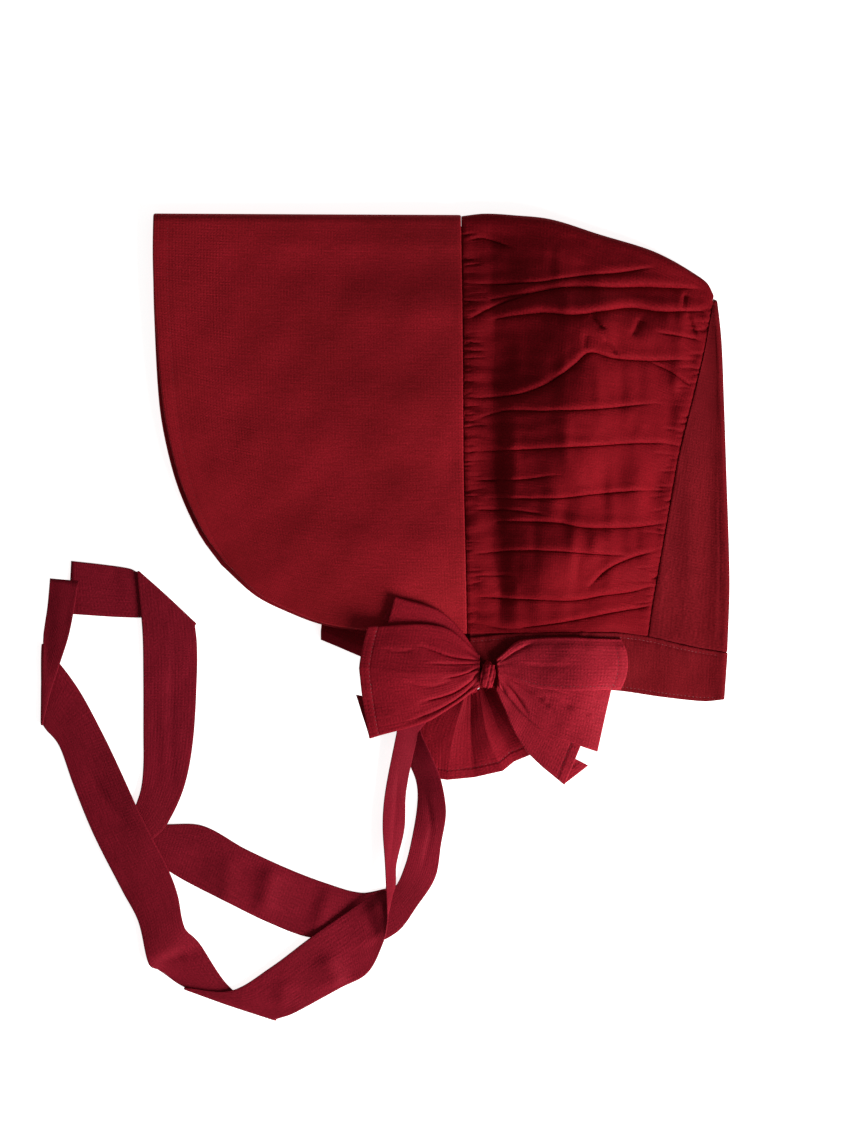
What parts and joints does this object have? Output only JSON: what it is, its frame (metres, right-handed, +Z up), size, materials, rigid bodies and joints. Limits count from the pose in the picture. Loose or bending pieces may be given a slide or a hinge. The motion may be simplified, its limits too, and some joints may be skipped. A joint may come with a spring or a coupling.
{
  "type": "folded cloth bonnet",
  "caption": "Soft cotton bonnet with a deep stiffened brim, gathered crown, neck band, side bows and long ties, folded in half and lying on its side.",
  "frame": {"origin": "centre of the bounding box, on the surface that the bonnet lies on", "axes": "+Z up from the surface, -X where the brim's front edge looks, +Y towards the top fold, -Y towards the neck edge and the ties"},
  "size_m": [0.4155, 0.4868, 0.0425],
  "materials": {
    "brim_cotton": "plain woven cotton, stiffened, wine red",
    "crown_cotton": "plain woven cotton, gathered and creased, wine red",
    "bow_cotton": "plain woven cotton, pleated, wine red",
    "tie_cotton": "plain woven cotton band, wine red"
  },
  "bodies": {
    "root": {"brim": "brim_cotton", "crown": "crown_cotton", "back_panel": "crown_cotton", "neck_band": "crown_cotton", "near_bow_front_wing": "bow_cotton", "near_bow_back_wing": "bow_cotton", "near_knot": "bow_cotton", "far_bow_front_wing": "bow_cotton", "far_bow_lower_wing": "bow_cotton", "far_knot": "bow_cotton", "near_tie": "tie_cotton", "far_tie": "tie_cotton"}
  },
  "joints": []
}
